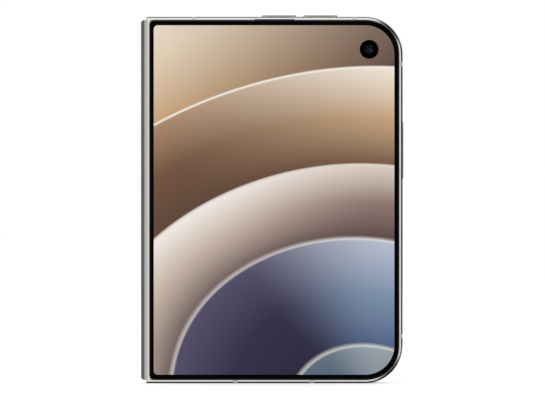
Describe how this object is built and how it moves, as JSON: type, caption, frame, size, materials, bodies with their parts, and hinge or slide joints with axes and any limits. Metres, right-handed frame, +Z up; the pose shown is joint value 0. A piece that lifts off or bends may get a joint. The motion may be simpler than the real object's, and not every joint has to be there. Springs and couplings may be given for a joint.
{
  "type": "foldable smartphone",
  "caption": "Book-style folding smartphone, closed, with a cover screen, a geared hinge spine, a folding inner display, buttons, a card tray and a rear camera bump.",
  "frame": {"origin": "centre of the bounding box's bottom face, under the middle of the closed phone standing on its bottom edge", "axes": "+Z up the height, cover screen faces -Y, rear cameras face +Y, hinge spine at -X and free edge at +X"},
  "size_m": [0.086, 0.012, 0.1207],
  "materials": {
    "frame_metal": "polished",
    "break_plastic": "satin",
    "cover_glass": "polished",
    "back_glass": "satin",
    "display": "gloss",
    "seal": "matte",
    "lens": "gloss",
    "dark_plastic": "matte",
    "battery": "matte",
    "board": "matte",
    "bright_steel": "brushed",
    "copper": "satin",
    "gear_brass": "satin",
    "white_window": "gloss",
    "spine_metal": "polished"
  },
  "bodies": {
    "rear_leaf": {"rear_frame": "frame_metal", "rear_antenna_breaks": "break_plastic", "back_glass": "back_glass", "back_seal": "seal", "camera_island": "frame_metal", "camera_rings": "frame_metal", "camera_windows": "lens", "camera_modules": "dark_plastic", "flash_window": "white_window", "main_board": "board", "board_shields": "bright_steel", "board_connectors": "dark_plastic", "rear_battery": "battery", "loudspeaker": "dark_plastic", "speaker_mesh": "bright_steel", "usb_c_port": "bright_steel", "usb_c_tongue": "dark_plastic", "button_switches": "copper", "haptic_motor": "bright_steel", "charging_coil": "copper", "rear_support_plate": "bright_steel", "inner_display_rear": "display", "inner_bezel_rear": "dark_plastic", "rear_hinge_arms": "bright_steel", "rear_hinge_screws": "bright_steel", "rear_magnets": "bright_steel", "inner_camera": "lens"},
    "hinge_spine": {"hinge_cover": "spine_metal", "hinge_blocks": "bright_steel", "hinge_centre_plate": "bright_steel", "gear_shafts": "bright_steel", "hinge_block_screws": "bright_steel", "inner_display_fold": "display"},
    "front_leaf": {"front_frame": "frame_metal", "front_antenna_breaks": "break_plastic", "cover_glass": "cover_glass", "cover_display_panel": "display", "cover_seal": "seal", "cover_camera_lens": "lens", "cover_camera_module": "dark_plastic", "earpiece_mesh": "bright_steel", "earpiece_speaker": "dark_plastic", "front_battery": "battery", "front_board": "board", "front_board_shields": "bright_steel", "front_connectors": "dark_plastic", "front_support_plate": "bright_steel", "inner_display_front": "display", "inner_bezel_front": "dark_plastic", "front_hinge_arms": "bright_steel", "front_hinge_screws": "bright_steel", "front_magnets": "bright_steel"},
    "front_wing_plate": {"front_wing_plate": "bright_steel"},
    "rear_wing_plate": {"rear_wing_plate": "bright_steel"},
    "front_outer_gear": {"front_outer_gear": "gear_brass"},
    "front_idler_gear": {"front_idler_gear": "gear_brass"},
    "rear_idler_gear": {"rear_idler_gear": "gear_brass"},
    "rear_outer_gear": {"rear_outer_gear": "gear_brass"},
    "power_button": {"power_button": "frame_metal"},
    "volume_up_button": {"volume_up_button": "frame_metal"},
    "volume_down_button": {"volume_down_button": "frame_metal"},
    "sim_tray": {"sim_tray": "frame_metal"}
  },
  "joints": [
    {"name": "rear_fold", "type": "hinge", "parent": "rear_leaf", "child": "hinge_spine", "pos_m": [-0.0402, 0.00005, 0.06], "axis": [0, 0, -1], "range_deg": [0, 90], "deforming": ["inner_display_fold"]},
    {"name": "front_fold", "type": "hinge", "parent": "hinge_spine", "child": "front_leaf", "pos_m": [-0.0402, -0.00225, 0.06], "axis": [0, 0, -1], "range_deg": [0, 90]},
    {"name": "rear_wing_tilt", "type": "hinge", "parent": "rear_leaf", "child": "rear_wing_plate", "pos_m": [-0.03494, -0.0003, 0.06], "axis": [0, 0, 1], "range_deg": [0, 18]},
    {"name": "front_wing_tilt", "type": "hinge", "parent": "front_leaf", "child": "front_wing_plate", "pos_m": [-0.03494, -0.0019, 0.06], "axis": [0, 0, -1], "range_deg": [0, 18]},
    {"name": "rear_outer_spin", "type": "hinge", "parent": "hinge_spine", "child": "rear_outer_gear", "pos_m": [-0.04167, 0.00031, 0.06], "axis": [0, 0, 1], "range_deg": [0, 360]},
    {"name": "rear_idler_spin", "type": "hinge", "parent": "hinge_spine", "child": "rear_idler_gear", "pos_m": [-0.04126, -0.0006, 0.06], "axis": [0, 0, -1], "range_deg": [0, 360]},
    {"name": "front_idler_spin", "type": "hinge", "parent": "hinge_spine", "child": "front_idler_gear", "pos_m": [-0.04126, -0.0016, 0.06], "axis": [0, 0, 1], "range_deg": [0, 360]},
    {"name": "front_outer_spin", "type": "hinge", "parent": "hinge_spine", "child": "front_outer_gear", "pos_m": [-0.04167, -0.00251, 0.06], "axis": [0, 0, -1], "range_deg": [0, 360]},
    {"name": "power_press", "type": "slide", "parent": "rear_leaf", "child": "power_button", "axis": [-1, 0, 0], "range_m": [0, 0.00025], "stiffness_N_per_m": 2000},
    {"name": "volume_up_press", "type": "slide", "parent": "rear_leaf", "child": "volume_up_button", "axis": [0, 0, -1], "range_m": [0, 0.00025], "stiffness_N_per_m": 2000},
    {"name": "volume_down_press", "type": "slide", "parent": "rear_leaf", "child": "volume_down_button", "axis": [0, 0, -1], "range_m": [0, 0.00025], "stiffness_N_per_m": 2000},
    {"name": "tray_slide", "type": "slide", "parent": "rear_leaf", "child": "sim_tray", "axis": [1, 0, 0], "range_m": [0, 0.018]}
  ],
  "couplings": [
    {"joint": "front_fold", "follows": "rear_fold", "ratio": 1},
    {"joint": "rear_wing_tilt", "follows": "rear_fold", "ratio": 0.2},
    {"joint": "front_wing_tilt", "follows": "rear_fold", "ratio": 0.2},
    {"joint": "rear_outer_spin", "follows": "rear_fold", "ratio": 4},
    {"joint": "rear_idler_spin", "follows": "rear_fold", "ratio": 4},
    {"joint": "front_idler_spin", "follows": "rear_fold", "ratio": 4},
    {"joint": "front_outer_spin", "follows": "rear_fold", "ratio": 4}
  ]
}
